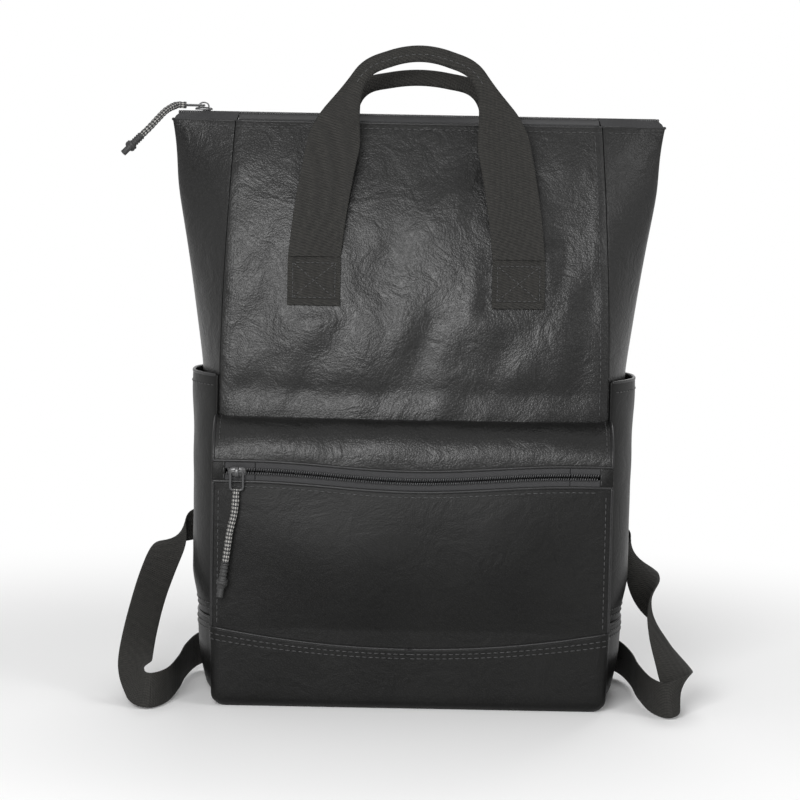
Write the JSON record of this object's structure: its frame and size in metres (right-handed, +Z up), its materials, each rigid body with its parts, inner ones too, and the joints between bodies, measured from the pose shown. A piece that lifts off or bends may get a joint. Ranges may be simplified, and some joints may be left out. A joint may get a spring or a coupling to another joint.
{
  "type": "leather backpack",
  "caption": "Tote-shaped leather backpack with winged zip top, front zip pocket, side pockets, webbing grab handles and padded shoulder straps.",
  "frame": {"origin": "middle of the flat underside of the base, between the panels' seams", "axes": "+Z up from the base to the handles, -Y out of the front pocket, +X to the right as seen from the front"},
  "size_m": [0.4144, 0.1697, 0.475],
  "materials": {
    "black_leather": "pebbled, satin",
    "black_webbing": "ribbed, matte",
    "zip_tape": "woven, matte",
    "zip_teeth": "satin",
    "slider_metal": "satin black",
    "cord_braid": "braided, matte",
    "cord_end": "matte",
    "buckle_plastic": "satin",
    "lining_cloth": "woven, matte",
    "foam": "soft foam",
    "stiff_board": "plain"
  },
  "bodies": {
    "bag": {"front_panel": "black_leather", "back_panel": "black_leather", "left_gusset": "black_leather", "right_gusset": "black_leather", "base_boot": "black_leather", "left_side_pocket": "black_leather", "right_side_pocket": "black_leather", "pocket_hood": "black_leather", "pocket_front": "black_leather", "pocket_left_side": "black_leather", "pocket_right_side": "black_leather", "pocket_zip_left_tab": "black_leather", "pocket_zip_right_tab": "black_leather", "strap_yoke": "black_leather", "left_strap_tab": "black_leather", "right_strap_tab": "black_leather", "front_handle_left_patch": "black_webbing", "front_handle_right_patch": "black_webbing", "rear_handle_left_patch": "black_webbing", "rear_handle_right_patch": "black_webbing", "left_webbing": "black_webbing", "right_webbing": "black_webbing", "main_zip_left_end": "zip_tape", "main_zip_right_end": "zip_tape", "pocket_zip_left_end": "zip_tape", "pocket_zip_right_end": "zip_tape", "lining": "lining_cloth", "laptop_sleeve": "lining_cloth", "back_foam": "foam", "base_board": "stiff_board"},
    "main_slider": {"main_zip_slider": "slider_metal"},
    "main_puller": {"main_pull_bail": "slider_metal", "main_pull_cord": "cord_braid", "main_pull_knot": "cord_end"},
    "front_lip": {"front_zip_tape": "zip_tape", "front_zip_teeth": "zip_teeth"},
    "rear_lip": {"rear_zip_tape": "zip_tape", "rear_zip_teeth": "zip_teeth"},
    "pocket_slider": {"pocket_zip_slider": "slider_metal"},
    "pocket_puller": {"pocket_pull_bail": "slider_metal", "pocket_pull_cord": "cord_braid", "pocket_pull_knot": "cord_end"},
    "pocket_lower_lip": {"pocket_lower_zip_tape": "zip_tape", "pocket_lower_zip_teeth": "zip_teeth"},
    "pocket_upper_lip": {"pocket_upper_zip_tape": "zip_tape", "pocket_upper_zip_teeth": "zip_teeth"},
    "front_loop": {"front_handle": "black_webbing"},
    "rear_loop": {"rear_handle": "black_webbing"},
    "left_strap": {"left_shoulder_strap": "black_leather", "left_tip_loop": "black_webbing", "left_ladder_lock": "buckle_plastic"},
    "right_strap": {"right_shoulder_strap": "black_leather", "right_tip_loop": "black_webbing", "right_ladder_lock": "buckle_plastic"}
  },
  "joints": [
    {"name": "main_zip_slide", "type": "slide", "parent": "bag", "child": "main_slider", "axis": [1, 0, 0], "range_m": [0, 0.314]},
    {"name": "main_puller_swing", "type": "hinge", "parent": "main_slider", "child": "main_puller", "pos_m": [-0.157, 0.012, 0.4289], "axis": [0, 1, 0], "range_deg": [0, 175]},
    {"name": "front_lip_fold", "type": "hinge", "parent": "bag", "child": "front_lip", "pos_m": [0, 0.0006, 0.4199], "axis": [1, 0, 0], "range_deg": [0, 60]},
    {"name": "rear_lip_fold", "type": "hinge", "parent": "bag", "child": "rear_lip", "pos_m": [0, 0.0234, 0.4199], "axis": [-1, 0, 0], "range_deg": [0, 60]},
    {"name": "pocket_zip_slide", "type": "slide", "parent": "bag", "child": "pocket_slider", "axis": [1, 0, 0], "range_m": [0, 0.25]},
    {"name": "pocket_puller_swing", "type": "hinge", "parent": "pocket_slider", "child": "pocket_puller", "pos_m": [-0.125, -0.071, 0.17075], "axis": [-1, 0, 0], "range_deg": [0, 150]},
    {"name": "pocket_lower_lip_fold", "type": "hinge", "parent": "bag", "child": "pocket_lower_lip", "pos_m": [0, -0.0661, 0.1641], "axis": [1, 0, 0], "range_deg": [0, 75]},
    {"name": "pocket_upper_lip_fold", "type": "hinge", "parent": "bag", "child": "pocket_upper_lip", "pos_m": [0, -0.0661, 0.1774], "axis": [-1, 0, 0], "range_deg": [0, 75]},
    {"name": "front_handle_fold", "type": "hinge", "parent": "bag", "child": "front_loop", "pos_m": [0, -0.03395, 0.322], "axis": [1, 0, 0], "range_deg": [0, 150]},
    {"name": "rear_handle_fold", "type": "hinge", "parent": "bag", "child": "rear_loop", "pos_m": [0, 0.0582, 0.322], "axis": [-1, 0, 0], "range_deg": [0, 100]},
    {"name": "left_strap_swing", "type": "hinge", "parent": "bag", "child": "left_strap", "pos_m": [-0.0245, 0.04305, 0.388], "axis": [1, 0, 0], "range_deg": [0, 18], "deforming": ["left_webbing"]},
    {"name": "right_strap_swing", "type": "hinge", "parent": "bag", "child": "right_strap", "pos_m": [0.0245, 0.04305, 0.388], "axis": [1, 0, 0], "range_deg": [0, 18], "deforming": ["right_webbing"]}
  ]
}
